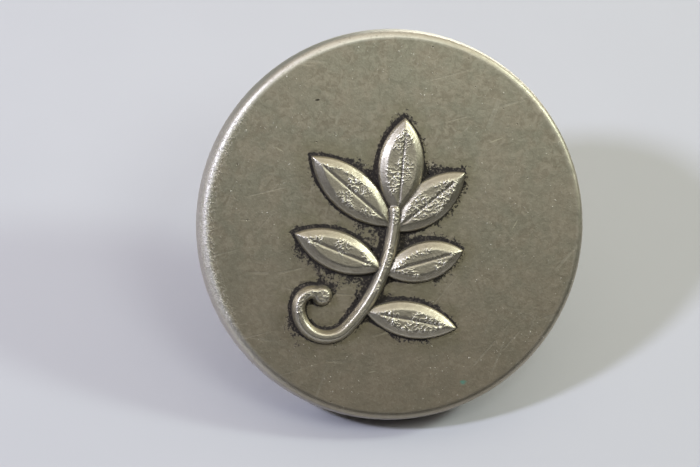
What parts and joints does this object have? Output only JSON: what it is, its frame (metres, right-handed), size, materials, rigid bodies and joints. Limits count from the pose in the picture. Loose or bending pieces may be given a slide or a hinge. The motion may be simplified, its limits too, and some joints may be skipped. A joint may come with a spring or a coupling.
{
  "type": "button badge",
  "caption": "Round pin-back badge: crimped metal shell with an applied leaf-sprig emblem, hinged pin and rotating safety catch.",
  "frame": {"origin": "centre of the flat rear rim, in the rim's plane", "axes": "upright as worn: face towards -Y, rear rim and pin towards +Y, top towards +Z, the pin's point towards +X"},
  "size_m": [0.025, 0.0074, 0.025],
  "materials": {
    "white_metal_face": "worn satin nickel silver with a fine matt grain",
    "white_metal_emblem": "nickel silver rubbed bright on top, dark in the hollows",
    "card": "pressed greyboard",
    "back_metal": "dull nickel silver sheet",
    "fittings": "nickel-plated steel, slightly tarnished",
    "rivets": "nickel-plated steel",
    "pin_steel": "drawn steel wire",
    "catch_metal": "nickel-plated steel, rubbed on the thumb tab"
  },
  "bodies": {
    "badge": {"face_shell": "white_metal_face", "emblem": "white_metal_emblem", "filler_disc": "card", "back_plate": "back_metal", "pin_bar": "fittings", "hinge_bracket": "fittings", "bar_rivets": "rivets", "hinge_rivet": "rivets", "catch_housing": "fittings"},
    "stem": {"pin_stem": "pin_steel"},
    "rotor": {"catch_rotor": "catch_metal"}
  },
  "joints": [
    {"name": "stem_hinge", "type": "hinge", "parent": "badge", "child": "stem", "pos_m": [-0.0085, 0.0026, 0.003], "axis": [0, 0, 1], "range_deg": [0, 80]},
    {"name": "catch_lock", "type": "hinge", "parent": "badge", "child": "rotor", "pos_m": [0.007, 0.0026, 0.003], "axis": [-1, 0, 0], "range_deg": [0, 105]}
  ]
}
